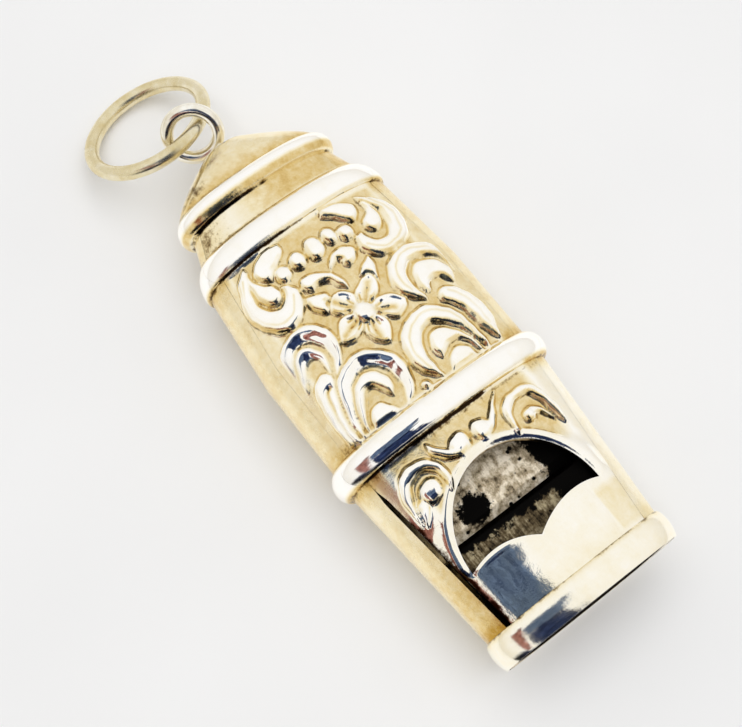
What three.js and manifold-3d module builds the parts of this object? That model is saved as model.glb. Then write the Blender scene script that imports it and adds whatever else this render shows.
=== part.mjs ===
// Silver pendant whistle: a flattened barrel struck in two half shells, with a mouth rim, inner plates,
// a fixed bail and a loose jump ring.
// Millimetres, +Z up. The whistle lies on its back with its mouth towards +X, and the origin is on the
// resting plane under the middle band.

import * as THREE from 'three';
import { mergeVertices } from 'three/addons/utils/BufferGeometryUtils.js';
import loadManifold from 'manifold-3d';

// Lengths along the whistle, from the bail end to the mouth
const domeLength = 3.3;
const ridgeLength = 1.8;
const neckLength = 2.0;
const collarLength = 2.3;
const upperBodyLength = 15.3;
const middleBandLength = 2.2;
const lowerBodyLength = 14.9;
const mouthRimLength = 2.1;

// Widths of the barrel itself, under its bands
const domeTopWidth = 3.2;
const ridgeSeatWidth = 12.2;
const neckWidth = 13.6;
const shoulderWidth = 15.2;
const bellyWidth = 16.6;
const waistWidth = 16.5;
const mouthWidth = 13.8;

// Depths of the barrel: in front of its axis as a share of the half-width, and behind it as lengths
const frontDepthRatio = 0.43;
const domeTopDepth = 1.3;
const ridgeSeatBack = 3.0;
const bodyBack = 3.85;
const domeBend = 1.35;
const sectionPower = 2.4;

// How far each raised band stands proud of the barrel
const ridgeProud = 0.6;
const collarProud = 0.5;
const middleBandProud = 0.72;
const mouthRimProud = 0.42;

// The mouth rim's rounding stops short of a half circle, which leaves it a flat end
const mouthRimRound = 0.8 * Math.PI;

// Resting plane: how far it lies below the axis, and how much of the bands' backs it cuts flat
const restDepth = 4.3;
const restFlat = 0.12;

// Sheet and seam
const wall = 0.6;
const seamAtDomeTop = 0.2;
const seamAtRidge = 1.4;
const seamAtBody = 2.1;
const solderGap = 0.1;

// Sound window in the front shell, with its bracket-shaped edge towards the mouth
const windowRadius = 5.3;
const windowLength = 5.75;
const windowToMouth = 5.95;
const bracketSwell = 1.0;
const cuspDepth = 0.75;

// Windway and lip plates inside the barrel
const plateThickness = 0.5;
const plateFit = 0.3;
const windwayHeight = 0.6;
const slitWidth = 0.45;
const slitToMouth = 7.7;
const lipDrop = 0.5;
const lipBevel = 0.6;
const lipPlateLength = 9.5;
const mouthPlateRecess = 0.5;

// Bail and jump ring
const bailWireDiameter = 1.0;
const bailEyeDiameter = 2.75;
const bailSeatDiameter = 1.8;
const bailSeatThickness = 0.25;
const bailSeatY = -0.367;
const bailSeatZ = -0.407;
const bailNormal = new THREE.Vector3(0.6863, -0.4184, 0.595).normalize();
const jumpWireDiameter = 1.15;
const jumpRingBore = 8.35;
const eyeOffset = new THREE.Vector3(-0.078, 0.206, 0.234);
const jumpRingNormal = new THREE.Vector3(-0.4751, -0.1179, 0.872).normalize();
const jumpRingReach = new THREE.Vector3(-0.7525, -0.4589, -0.472).normalize();

// Facets
const aroundBarrel = 48;
const stepsOverBand = 8;
const stepsOverDome = 6;
const stepsOverBody = 4;
const stepsOverRim = 7;
const stepsAlongWindow = 14;
const wireSides = 10;
const stepsRoundBail = 28;
const stepsRoundJumpRing = 44;
const weldDistance = 1e-4;

// Stations along X, with the middle band centred on the origin
const middleBandX = -middleBandLength / 2;
const lowerBodyX = middleBandLength / 2;
const mouthX = lowerBodyX + lowerBodyLength;
const mouthRimX = mouthX - mouthRimLength;
const upperBodyX = middleBandX - upperBodyLength;
const bellyX = (upperBodyX + middleBandX) / 2;
const collarX = upperBodyX - collarLength;
const neckX = collarX - neckLength;
const ridgeX = neckX - ridgeLength;
const domeX = ridgeX - domeLength;
const cutterReach = mouthX - domeX;

const manifold = await loadManifold();
manifold.setup();

// A closed geometry as a solid that can be joined and cut
function solidOf(geometry) {
  const bare = geometry.clone();
  bare.deleteAttribute('normal');
  bare.deleteAttribute('uv');
  const welded = mergeVertices(bare, weldDistance);
  const vertProperties = new Float32Array(welded.attributes.position.array);
  const triVerts = new Uint32Array(welded.index.array);
  return new manifold.Manifold(new manifold.Mesh({ numProp: 3, vertProperties, triVerts }));
}

function geometryOf(solid) {
  const mesh = solid.getMesh();
  const geometry = new THREE.BufferGeometry();
  geometry.setAttribute('position', new THREE.BufferAttribute(mesh.vertProperties, mesh.numProp));
  geometry.setIndex(new THREE.BufferAttribute(mesh.triVerts, 1));
  geometry.computeVertexNormals();
  return geometry;
}

// The bare barrel's section at each change of form: half-width, and depths before and behind the axis
const barrelSection = (x, width, back) => ({
  x,
  half: width / 2,
  front: (width / 2) * frontDepthRatio,
  back,
});
const spine = [
  { x: domeX, half: domeTopWidth / 2, front: domeTopDepth, back: domeTopDepth },
  barrelSection(ridgeX, ridgeSeatWidth, ridgeSeatBack),
  barrelSection(neckX, ridgeSeatWidth, ridgeSeatBack),
  barrelSection(collarX, neckWidth, bodyBack),
  barrelSection(upperBodyX, shoulderWidth, bodyBack),
  barrelSection(bellyX, bellyWidth, bodyBack),
  barrelSection(middleBandX, waistWidth, bodyBack),
  barrelSection(lowerBodyX, waistWidth, bodyBack),
  barrelSection(mouthX, mouthWidth, bodyBack),
];

// The bare barrel's section at any station; the dome swells towards its ridge
function barrelAt(x) {
  const last = spine.length - 1;
  const found = spine.findIndex((section, i) => i > 0 && x <= section.x);
  const i = found < 0 ? last : found;
  const from = spine[i - 1];
  const to = spine[i];
  const share = Math.min((x - from.x) / (to.x - from.x), 1);
  const t = i === 1 ? 1 - Math.pow(1 - share, domeBend) : share;
  const between = (key) => from[key] + (to[key] - from[key]) * t;
  return { x, half: between('half'), front: between('front'), back: between('back') };
}

const grown = (section, side, back) => ({
  x: section.x,
  half: section.half + side,
  front: section.front + side,
  back: section.back + back,
});

// Values at even steps from one end to the other, both ends counted
function evenly(from, to, steps) {
  return Array.from({ length: steps + 1 }, (_, i) => from + ((to - from) * i) / steps);
}

// Sections over a rounded band, half-round unless it stops short of its far side;
// a band that the whistle rests on reaches past the resting plane
function bandSections({ start, length, proud, steps, rests = true, round = Math.PI }) {
  return evenly(0, round, steps).map((angle) => {
    const bare = barrelAt(start + (length * (1 - Math.cos(angle))) / (1 - Math.cos(round)));
    const swell = Math.sin(angle);
    const backProud = rests ? restDepth + restFlat - bare.back : proud;
    return grown(bare, proud * swell, backProud * swell);
  });
}

// A closed loft through sections, as flattened ovals round the axis at its height over the resting plane
function loft(sections) {
  const positions = [];
  const indices = [];
  const rounded = (value) => Math.sign(value) * Math.pow(Math.abs(value), 2 / sectionPower);
  for (const { x, half, front, back } of sections) {
    for (let i = 0; i < aroundBarrel; i += 1) {
      const angle = (2 * Math.PI * i) / aroundBarrel;
      const up = rounded(Math.sin(angle));
      positions.push(x, half * rounded(Math.cos(angle)), restDepth + up * (up > 0 ? front : back));
    }
  }
  const lastRow = (sections.length - 1) * aroundBarrel;
  for (let row = 0; row < lastRow; row += aroundBarrel) {
    for (let i = 0; i < aroundBarrel; i += 1) {
      const next = (i + 1) % aroundBarrel;
      indices.push(row + i, row + next, row + aroundBarrel + i);
      indices.push(row + next, row + aroundBarrel + next, row + aroundBarrel + i);
    }
  }
  const startCentre = positions.length / 3;
  positions.push(sections[0].x, 0, restDepth, sections[sections.length - 1].x, 0, restDepth);
  for (let i = 0; i < aroundBarrel; i += 1) {
    const next = (i + 1) % aroundBarrel;
    indices.push(startCentre, next, i, startCentre + 1, lastRow + i, lastRow + next);
  }
  const geometry = new THREE.BufferGeometry();
  geometry.setAttribute('position', new THREE.Float32BufferAttribute(positions, 3));
  geometry.setIndex(indices);
  return solidOf(geometry);
}

// The bare barrel shrunk by an inset, from inside its dome to past its mouth
function barrelInset(inset) {
  const stations = [
    ...evenly(domeX + inset, ridgeX, stepsOverDome),
    neckX,
    collarX,
    upperBodyX,
    bellyX,
    middleBandX,
    lowerBodyX,
    mouthX,
    mouthX + cutterReach,
  ];
  return loft(stations.map((x) => grown(barrelAt(x), -inset, -inset)));
}

// A box between two corners
function block(low, high) {
  const size = high.map((value, i) => value - low[i]);
  const geometry = new THREE.BoxGeometry(...size);
  geometry.translate(...low.map((value, i) => value + size[i] / 2));
  return solidOf(geometry);
}

// An outline drawn in X and Z, drawn out across the whole width
function acrossWidth(points) {
  const outline = new THREE.Shape(points.map(([x, z]) => new THREE.Vector2(x, z)));
  const geometry = new THREE.ExtrudeGeometry(outline, { depth: 2 * cutterReach, bevelEnabled: false });
  geometry.rotateX(Math.PI / 2);
  geometry.translate(0, cutterReach, 0);
  return solidOf(geometry);
}

// Barrel with its dome, bands and hollow, before it is parted along the seam
const barrelOutside = loft([
  ...evenly(domeX, ridgeX, stepsOverDome).slice(0, -1).map(barrelAt),
  ...bandSections({
    start: ridgeX,
    length: ridgeLength,
    proud: ridgeProud,
    steps: stepsOverBand,
    rests: false,
  }),
  barrelAt((neckX + collarX) / 2),
  ...bandSections({ start: collarX, length: collarLength, proud: collarProud, steps: stepsOverBand }),
  ...evenly(upperBodyX, middleBandX, stepsOverBody).slice(1, -1).map(barrelAt),
  ...bandSections({
    start: middleBandX,
    length: middleBandLength,
    proud: middleBandProud,
    steps: stepsOverBand,
  }),
  ...evenly(lowerBodyX, mouthX, stepsOverBody).slice(1).map(barrelAt),
]);
const belowRest = block([-2 * cutterReach, -cutterReach, -cutterReach], [2 * cutterReach, cutterReach, 0]);
const barrel = barrelOutside.subtract(barrelInset(wall)).subtract(belowRest);

// The seam runs level along the body and falls over the dome; a hair of solder parts the two shells
function besideSeam(side) {
  const level = (height) => restDepth + height + (side * solderGap) / 2;
  const far = restDepth + side * cutterReach;
  return acrossWidth([
    [domeX - cutterReach, level(seamAtDomeTop)],
    [domeX, level(seamAtDomeTop)],
    [ridgeX, level(seamAtRidge)],
    [collarX, level(seamAtRidge)],
    [upperBodyX, level(seamAtBody)],
    [mouthX + cutterReach, level(seamAtBody)],
    [mouthX + cutterReach, far],
    [domeX - cutterReach, far],
  ]);
}

// Sound window: a half-oval hole whose mouth-side edge is two shallow lobes that meet in a cusp
const windowX = mouthX - windowToMouth;
const windowOutline = new THREE.Shape();
windowOutline.absellipse(windowX, 0, windowLength, windowRadius, Math.PI / 2, (3 * Math.PI) / 2, false, 0);
windowOutline.quadraticCurveTo(windowX - bracketSwell, -windowRadius / 2, windowX + cuspDepth, 0);
windowOutline.quadraticCurveTo(windowX - bracketSwell, windowRadius / 2, windowX, windowRadius);
const windowHole = new THREE.ExtrudeGeometry(windowOutline, {
  depth: cutterReach,
  bevelEnabled: false,
  curveSegments: stepsAlongWindow,
});
windowHole.translate(0, 0, restDepth);

const frontShell = barrel.intersect(besideSeam(1)).subtract(solidOf(windowHole));
const backShell = barrel.intersect(besideSeam(-1));

// Mouth rim: a rounded band pressed over the open end of both shells, flush with their ends
const rimOutside = loft(bandSections({
  start: mouthRimX,
  length: mouthRimLength,
  proud: mouthRimProud,
  steps: stepsOverRim,
  round: mouthRimRound,
}));
const mouthRim = rimOutside.subtract(barrelInset(-solderGap)).subtract(belowRest);

// Inner plates: the windway's floor, the lip that its air meets, and the plate that closes the mouth
// below the windway
const insideFit = barrelInset(wall + plateFit);
const windwayFloorTop = restDepth + barrelAt(mouthX).front - wall - windwayHeight;
const windwayFloorUnder = windwayFloorTop - plateThickness;
const slitX = mouthX - slitToMouth;
const lipX = slitX - slitWidth;
const lipTop = windwayFloorTop - lipDrop;
const lipUnder = lipTop - plateThickness;
const windwayFloor = insideFit.intersect(
  block([slitX, -cutterReach, windwayFloorUnder], [mouthX, cutterReach, windwayFloorTop]),
);
const lipPlate = insideFit.intersect(
  acrossWidth([
    [lipX, lipUnder],
    [lipX - lipBevel, lipTop],
    [lipX - lipPlateLength + plateThickness, lipTop],
    [lipX - lipPlateLength + plateThickness, restDepth + cutterReach],
    [lipX - lipPlateLength, restDepth + cutterReach],
    [lipX - lipPlateLength, lipUnder],
  ]),
);
const mouthPlateX = mouthX - mouthPlateRecess;
const mouthPlate = insideFit.intersect(
  block([mouthPlateX - plateThickness, -cutterReach, 0], [mouthPlateX, cutterReach, windwayFloorUnder]),
);

// Bail seat: a flat pad of solder on the dome's top, where the bail's wire comes nearest
const bailSeat = new THREE.CylinderGeometry(
  bailSeatDiameter / 2, bailSeatDiameter / 2, bailSeatThickness, stepsRoundBail,
);
bailSeat.rotateZ(Math.PI / 2);

// Bail: a closed wire ring standing on its seat, leaning as its normal says
const bailWireRadius = bailWireDiameter / 2;
const bailRadius = bailEyeDiameter / 2 + bailWireRadius;
const bailTowardsDome = new THREE.Vector3(1, 0, 0).projectOnPlane(bailNormal).normalize();
const bailTouch = new THREE.Vector3(
  domeX - bailSeatThickness - solderGap - bailWireRadius, bailSeatY, restDepth + bailSeatZ,
);
const bailCentre = bailTouch.clone().addScaledVector(bailTowardsDome, -bailRadius);

// Jump ring: a larger wire ring hanging through the bail's eye, its far side down on the resting plane
const jumpWireRadius = jumpWireDiameter / 2;
const jumpRingRadius = jumpRingBore / 2 + jumpWireRadius;
const jumpRingCentre = bailCentre.clone().add(eyeOffset).addScaledVector(jumpRingReach, jumpRingRadius);

const whistle = new THREE.Group();
whistle.name = 'whistle';

function addPiece(name, geometry, material) {
  const mesh = new THREE.Mesh(geometry, material);
  mesh.name = name;
  whistle.add(mesh);
  return mesh;
}

function addWireRing(name, torus, centre, normal, material) {
  const mesh = addPiece(name, torus, material);
  mesh.position.copy(centre);
  mesh.quaternion.setFromUnitVectors(new THREE.Vector3(0, 0, 1), normal);
  return mesh;
}

const silver = (color, roughness) => new THREE.MeshStandardMaterial({ color, roughness, metalness: 1 });

addPiece('front_shell', geometryOf(frontShell), silver(0xe6e1d3, 0.18));
addPiece('back_shell', geometryOf(backShell), silver(0xd9c99a, 0.3));
addPiece('mouth_rim', geometryOf(mouthRim), silver(0xe4dcc6, 0.2));
addPiece('windway_floor', geometryOf(windwayFloor), silver(0x6b5f4e, 0.6));
addPiece('lip_plate', geometryOf(lipPlate), silver(0xa59c8c, 0.55));
addPiece('mouth_plate', geometryOf(mouthPlate), silver(0x8a7f6c, 0.55));
const bailSeatMesh = addPiece('bail_seat', bailSeat, silver(0xcdbf95, 0.35));
bailSeatMesh.position.set(domeX - bailSeatThickness / 2, bailSeatY, restDepth + bailSeatZ);
const bailTorus = new THREE.TorusGeometry(bailRadius, bailWireRadius, wireSides, stepsRoundBail);
addWireRing('bail_ring', bailTorus, bailCentre, bailNormal, silver(0xe2ddcf, 0.2));
const jumpTorus = new THREE.TorusGeometry(jumpRingRadius, jumpWireRadius, wireSides, stepsRoundJumpRing);
addWireRing('jump_ring', jumpTorus, jumpRingCentre, jumpRingNormal, silver(0xd6c9a4, 0.28));

export default whistle;
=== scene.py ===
import math

import bpy
import numpy as np
from mathutils import Matrix, Vector


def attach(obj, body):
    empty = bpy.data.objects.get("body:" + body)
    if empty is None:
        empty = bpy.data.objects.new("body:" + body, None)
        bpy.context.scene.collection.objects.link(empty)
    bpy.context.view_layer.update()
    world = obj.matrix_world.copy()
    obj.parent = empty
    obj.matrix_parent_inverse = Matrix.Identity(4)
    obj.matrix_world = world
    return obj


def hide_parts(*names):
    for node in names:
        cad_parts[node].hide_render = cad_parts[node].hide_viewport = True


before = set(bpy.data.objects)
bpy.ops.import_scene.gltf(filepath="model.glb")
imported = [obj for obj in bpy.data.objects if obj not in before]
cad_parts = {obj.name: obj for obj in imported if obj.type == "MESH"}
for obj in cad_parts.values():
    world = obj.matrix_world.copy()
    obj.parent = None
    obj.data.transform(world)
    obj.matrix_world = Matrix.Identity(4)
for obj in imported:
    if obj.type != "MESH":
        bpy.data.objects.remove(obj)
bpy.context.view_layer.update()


# Back shell
# The deep half of the barrel: a plain tray with a dome, a ridge and bands, raised from silver sheet.
# Its bands are polished, its walls are satin and have yellowed, and its edge is soldered to the front.
mm = 0.001
dome_x, ridge_x, neck_x, collar_x = -25.8, -22.5, -20.7, -18.7
upper_x, band_x, lower_x, rim_x, mouth_x = -16.4, -1.1, 1.1, 13.9, 16.0
ridge_proud, collar_proud, band_proud = 0.6, 0.5, 0.72
panel_x = 10.7
axis_height = 4.3
sheet_thickness = 0.6
solder_gap = 0.1
closed_seam = 0.008
seam_opens_x, seam_open_x = 1.6, 3.2
front_ratio = 0.43
oval_power = 2.4
dome_bend = 1.35
rest_flat = 0.12
dome_edge = 0.12
arc_samples = 1201
belly_x = (upper_x + band_x) / 2
station_x = [dome_x, ridge_x, neck_x, collar_x, upper_x, belly_x, band_x, lower_x, mouth_x]
station_half = [1.6, 6.1, 6.1, 6.8, 7.6, 8.3, 8.25, 8.25, 6.9]
station_back = [1.3, 3.0, 3.0, 3.85, 3.85, 3.85, 3.85, 3.85, 3.85]
dome_front = 1.3
seam_x = [dome_x, ridge_x, collar_x, upper_x, mouth_x]
seam_height = [0.2, 1.4, 1.4, 2.1, 2.1]


def soft_step(value, low, high):
    """From 0 at low to 1 at high, smoothly."""
    t = np.clip((value - low) / (high - low), 0, 1)
    return t * t * (3 - 2 * t)


def between(value, low, in_low, in_high, high):
    """1 from in_low to in_high, falling smoothly to 0 at low and at high."""
    return soft_step(value, low, in_low) * soft_step(-value, -high, -in_high)


def barrel_at(x):
    """Half-width, and depths before and behind the axis, of the barrel under its bands."""
    x = np.asarray(x, float)
    share = np.clip((x - dome_x) / (ridge_x - dome_x), 0, 1)
    bent = dome_x + (ridge_x - dome_x) * (1 - (1 - share) ** dome_bend)
    at = np.where(x < ridge_x, bent, x)
    fronts = [dome_front] + [front_ratio * half for half in station_half[1:]]
    return (np.interp(at, station_x, station_half), np.interp(at, station_x, fronts),
            np.interp(at, station_x, station_back))


def plain_rows(start, end, steps):
    """Sections along a plain stretch, without the last: x, half, front, back, shrink."""
    x = np.linspace(start, end, steps + 1)[:-1]
    half, front, back = barrel_at(x)
    return np.stack([x, half, front, back, np.ones_like(x)], axis=1)


def band_rows(start, end, proud, steps, rests=True):
    """Sections over a rounded band, softer towards the cap, without the last; one that rests reaches
    the table."""
    turn = np.linspace(0, math.pi, steps + 1)[:-1]
    x = start + (end - start) * (1 - np.cos(turn)) / 2
    half, front, back = barrel_at(x)
    swell = np.sin(turn) ** np.where(turn < math.pi / 2, 1.5, 1.0)
    reach = axis_height + rest_flat - back if rests else proud
    return np.stack([x, half + proud * swell, front + proud * swell, back + reach * swell,
                     np.ones_like(x)], axis=1)


def barrel_rows(cap, dome, ridge, neck, collar, upper, band, lower, panel, seat):
    """Every section of a shell from the middle of its dome's top to its mouth, so many to each stretch."""
    shrink = np.linspace(0, 1, cap + 1)[:-1]
    first = barrel_at(dome_x + dome_edge)
    top = np.stack([dome_x + dome_edge * (1 - np.sqrt(1 - shrink ** 2)),
                    *(np.full(cap, size) for size in first), shrink], axis=1)
    end = np.array([[mouth_x, *barrel_at(mouth_x), 1.0]])
    return np.vstack([
        top,
        plain_rows(dome_x + dome_edge, ridge_x, dome),
        band_rows(ridge_x, neck_x, ridge_proud, ridge, rests=False),
        plain_rows(neck_x, collar_x, neck),
        band_rows(collar_x, upper_x, collar_proud, collar),
        plain_rows(upper_x, band_x, upper),
        band_rows(band_x, lower_x, band_proud, band),
        plain_rows(lower_x, panel_x, lower),
        plain_rows(panel_x, rim_x, panel),
        plain_rows(rim_x, mouth_x, seat),
        end,
    ])


def oval_turn(turn):
    """How far up and how far across a flattened oval is at a turn, as shares of its size."""
    return [np.sign(way) * np.abs(way) ** (2 / oval_power) for way in (np.sin(turn), np.cos(turn))]


def shell_points(rows, columns, side):
    """A grid of points over the shell on one side of the seam, in millimetres; solder closes the seam but
    for one side of the lower body, where it has shrunk back."""
    spots = np.zeros((len(rows), columns + 1, 3))
    for i, (x, half, front, back, shrink) in enumerate(rows):
        seam = np.interp(x, seam_x, seam_height) + side * closed_seam / 2
        opening = (solder_gap - closed_seam / 2) * soft_step(x, seam_opens_x, seam_open_x)
        begin = math.asin(min(1.0, (seam / front) ** (oval_power / 2)))
        far = math.asin(min(1.0, ((seam + side * opening) / front) ** (oval_power / 2)))
        finish = math.pi - far if side > 0 else -math.pi - far
        turn = np.linspace(begin, finish, arc_samples)
        rise, wide = oval_turn(turn)
        across, up = half * wide, rise * np.where(rise > 0, front, back)
        length = np.concatenate([[0], np.cumsum(np.hypot(np.diff(across), np.diff(up)))])
        even = np.linspace(0, length[-1], columns + 1)
        spots[i, :, 0] = x
        spots[i, :, 1] = shrink * np.interp(even, length, across)
        spots[i, :, 2] = axis_height + seam + shrink * (np.interp(even, length, up) - seam)
    spots[:, :, 2] = np.maximum(spots[:, :, 2], 0)
    return spots


def lay(piece, spots):
    """Moves a piece's points to spots given in millimetres."""
    piece.data.vertices.foreach_set("co", (spots * mm).astype(np.float32).ravel())


def sheet_from_grid(name, spots):
    """A grid primitive laid over the points, its faces outwards."""
    rows, columns = spots.shape[:2]
    bpy.ops.mesh.primitive_grid_add(x_subdivisions=columns - 1, y_subdivisions=rows - 1, size=1)
    sheet = bpy.context.object
    sheet.name = name
    sheet.data.name = name
    lay(sheet, spots)
    sheet.data.update()
    return sheet


def apply_modifier(piece, kind, **settings):
    """Adds a modifier and applies it."""
    bpy.context.view_layer.objects.active = piece
    modifier = piece.modifiers.new(kind.title(), kind)
    for key, value in settings.items():
        setattr(modifier, key, value)
    bpy.ops.object.modifier_apply(modifier=modifier.name)


def linear(code):
    """A hex colour as linear red, green, blue and alpha."""
    parts = [int(code[i:i + 2], 16) / 255 for i in (1, 3, 5)]
    return tuple(p / 12.92 if p <= 0.04045 else ((p + 0.055) / 1.055) ** 2.4 for p in parts) + (1.0,)


def add_node(tree, kind, settings=None, links=None):
    """A node with its settings and sockets; a link is written as (node, output name)."""
    node = tree.nodes.new(kind)
    for key, value in (settings or {}).items():
        setattr(node, key, value)
    for key, value in (links or {}).items():
        if isinstance(value, tuple) and len(value) == 2 and isinstance(value[0], bpy.types.Node):
            tree.links.new(value[0].outputs[value[1]], node.inputs[key])
        else:
            node.inputs[key].default_value = value
    return node


def new_material(name):
    """An empty node material and its tree."""
    material = bpy.data.materials.new(name)
    material.use_nodes = True
    material.node_tree.nodes.clear()
    return material, material.node_tree


def noise(tree, where, size, detail, roughness=0.5):
    """A noise pattern with lumps of about size millimetres."""
    return add_node(tree, "ShaderNodeTexNoise", {}, {
        "Vector": where, "Scale": 1 / (size * mm), "Detail": detail, "Roughness": roughness}), "Fac"


def reckon(tree, operation, *values):
    """A sum on up to three values."""
    return add_node(tree, "ShaderNodeMath", {"operation": operation}, dict(enumerate(values))), "Value"


def rescale(tree, value, low, high, to_low, to_high, **settings):
    """A value taken from one range to another and kept within it."""
    return add_node(tree, "ShaderNodeMapRange", settings, {
        "Value": value, "From Min": low, "From Max": high, "To Min": to_low, "To Max": to_high}), "Result"


def tinted(tree, value, stops):
    """A value turned into colour by (place, hex colour) stops."""
    ramp = add_node(tree, "ShaderNodeValToRGB", {}, {"Fac": value})
    ramp.color_ramp.elements.remove(ramp.color_ramp.elements[-1])
    for i, (place, code) in enumerate(stops):
        stop = ramp.color_ramp.elements[0] if i == 0 else ramp.color_ramp.elements.new(place)
        stop.position = place
        stop.color = linear(code)
    return ramp, "Color"


def mixed(tree, share, first, second):
    """A share of the second colour over the first."""
    return add_node(tree, "ShaderNodeMix", {"data_type": "RGBA"}, {
        "Factor": share, "A": first, "B": second}), "Result"


def embossed(tree, height, strength, deep, **over):
    """A bump up to deep millimetres, laid over another bump if Normal gives one."""
    return add_node(tree, "ShaderNodeBump", {}, {
        "Height": height, "Strength": strength, "Distance": deep * mm, **over}), "Normal"


def finish_with(tree, sockets):
    """The finished surface, joined to the material's output."""
    surface = add_node(tree, "ShaderNodeBsdfPrincipled", {}, sockets)
    add_node(tree, "ShaderNodeOutputMaterial", {}, {"Surface": (surface, "BSDF")})


band_ends = [(ridge_x, neck_x), (collar_x, upper_x), (band_x, lower_x), (rim_x, mouth_x)]


def wear_and_shade_at(x, y):
    """How yellow, how dark with dirt and painted shade, and how satin the plain barrel is at a place."""
    banded, dirty, near_band = np.zeros_like(x), np.zeros_like(x), np.zeros_like(x)
    for start, end in band_ends:
        banded = np.maximum(banded, between(x, start + 0.08, start + 0.4, end - 0.4, end - 0.08))
        # Dirt and painted shade darken the bands' feet, more on the foot towards the mouth
        for foot, darkened in ((start, 0.45), (end, 0.85)):
            dirty = np.maximum(dirty, darkened * np.exp(-((x - foot) / 0.13) ** 2))
            near_band = np.maximum(near_band, np.exp(-((x - foot) / 0.8) ** 2))
    # The walls have yellowed most beside the bands, and the ridge at its foot
    body = soft_step(x, upper_x - 0.5, upper_x + 1)
    yellow = (0.45 + 0.08 * body - 0.06 * soft_step(x, 0.5, 3) + 0.3 * near_band) * (1 - banded)
    ridge_foot = between(x, ridge_x + 0.9, ridge_x + 1.3, neck_x - 0.1, neck_x + 0.1)
    yellow = np.maximum(yellow, 0.75 * ridge_foot)
    # The neck is yellow too, but for a paler patch that is a painted highlight
    neck = between(x, neck_x - 0.2, neck_x + 0.1, collar_x - 0.2, collar_x + 0.1)
    neck_highlight = np.exp(-((y + 3.2) / 1.3) ** 2)
    neck_yellow = 0.6 + 0.14 * soft_step(y, -1.5, 1.5) - 0.3 * neck_highlight
    yellow = np.maximum(yellow * (1 - neck), neck_yellow * neck)
    # Brown specks lie on one side, beside the bands and on the neck, and on the dome's -y side, where they are
    # painted shade
    dome = soft_step(-x, -ridge_x, 0.4 - ridge_x)
    specks_and_dome_shade = np.maximum(near_band * soft_step(-y, 5.6, 7.2), 0.9 * neck * soft_step(-y, 1.5, 5.5))
    specks_and_dome_shade = np.maximum(specks_and_dome_shade, dome * soft_step(-y, 1.2, 4.2))
    dirty = np.maximum(dirty, 0.47 * specks_and_dome_shade * (1 - banded))
    satin = (1 - 0.65 * banded) * (1 - 0.5 * soft_step(-x, -collar_x, 0.3 - collar_x))
    satin = np.maximum(satin, 0.42 * soft_step(-x, -neck_x - 0.3, -neck_x))
    return yellow, dirty, satin


def set_wear_and_shade(mesh, **values):
    """Keeps values for each point of a mesh, which its material reads."""
    for name, value in values.items():
        kept = mesh.attributes.new(name, "FLOAT", "POINT").data
        kept.foreach_set("value", np.asarray(value, np.float32))


def read(items, key, width=1, kind=np.float32):
    """A value, or a row of values, for each item of a mesh."""
    values = np.zeros(len(items) * width, kind)
    items.foreach_get(key, values)
    return values.reshape(-1, width) if width > 1 else values


def struck_silver_finish():
    """Struck sterling: bright where the wheel reached it, satin on the walls, a straw-coloured tarnish in
    the hollows, ragged brown and black dirt with painted shade in the crevices and on shaded sides, and the
    faint waves of hand-worked sheet."""
    material, tree = new_material("polished_and_yellowed_sterling")
    here = add_node(tree, "ShaderNodeTexCoord"), "Object"
    along = add_node(tree, "ShaderNodeMapping", {}, {"Vector": here, "Scale": (0.15, 1, 1)}), "Vector"
    yellow, dirty, satin = [(add_node(tree, "ShaderNodeAttribute", {"attribute_name": name}), "Fac")
                            for name in ("yellow", "dirty", "satin")]
    cloud = noise(tree, here, 1.923, 6, 0.65)
    fleck = noise(tree, here, 0.5882, 6, 0.7)
    grain = noise(tree, here, 0.1923, 3, 0.6)
    streak = noise(tree, along, 0.3846, 3, 0.6)
    wave = noise(tree, here, 2.326, 2)
    drift = rescale(tree, cloud, 0.3, 0.7, -0.08, 0.09)
    sandy = rescale(tree, fleck, 0.3, 0.7, 0.82, 1.18)
    tint = tinted(tree, reckon(tree, "MULTIPLY_ADD", yellow, sandy, drift), [
        (0.0, "#FFFDF8"), (0.25, "#FAF3DF"), (0.5, "#F2E4BD"), (0.75, "#E0C587"), (1.0, "#C09743")])
    # Brown to black: the colour of dirt and of painted shade
    soil_and_shade = tinted(tree, dirty, [(0.2, "#7A5A2C"), (0.6, "#3E2A16"), (0.95, "#0A0807")])
    grime_and_shade = rescale(tree, reckon(tree, "MULTIPLY_ADD", fleck, 1.2, dirty), 0.98, 1.25, 0, 1)
    rough = rescale(tree, satin, 0, 1, 0.05, 0.27)
    swell = embossed(tree, wave, 0.5, 0.12)
    brushed = embossed(tree, reckon(tree, "MULTIPLY", satin, streak), 0.12, 0.04, Normal=swell)
    matted = embossed(tree, reckon(tree, "MULTIPLY", yellow, grain), 0.3, 0.06, Normal=brushed)
    finish_with(tree, {"Base Color": mixed(tree, grime_and_shade, tint, soil_and_shade), "Metallic": 1.0, "Normal": matted,
                       "Roughness": reckon(tree, "MULTIPLY_ADD", drift, 0.3, rough)})
    return material


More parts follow.
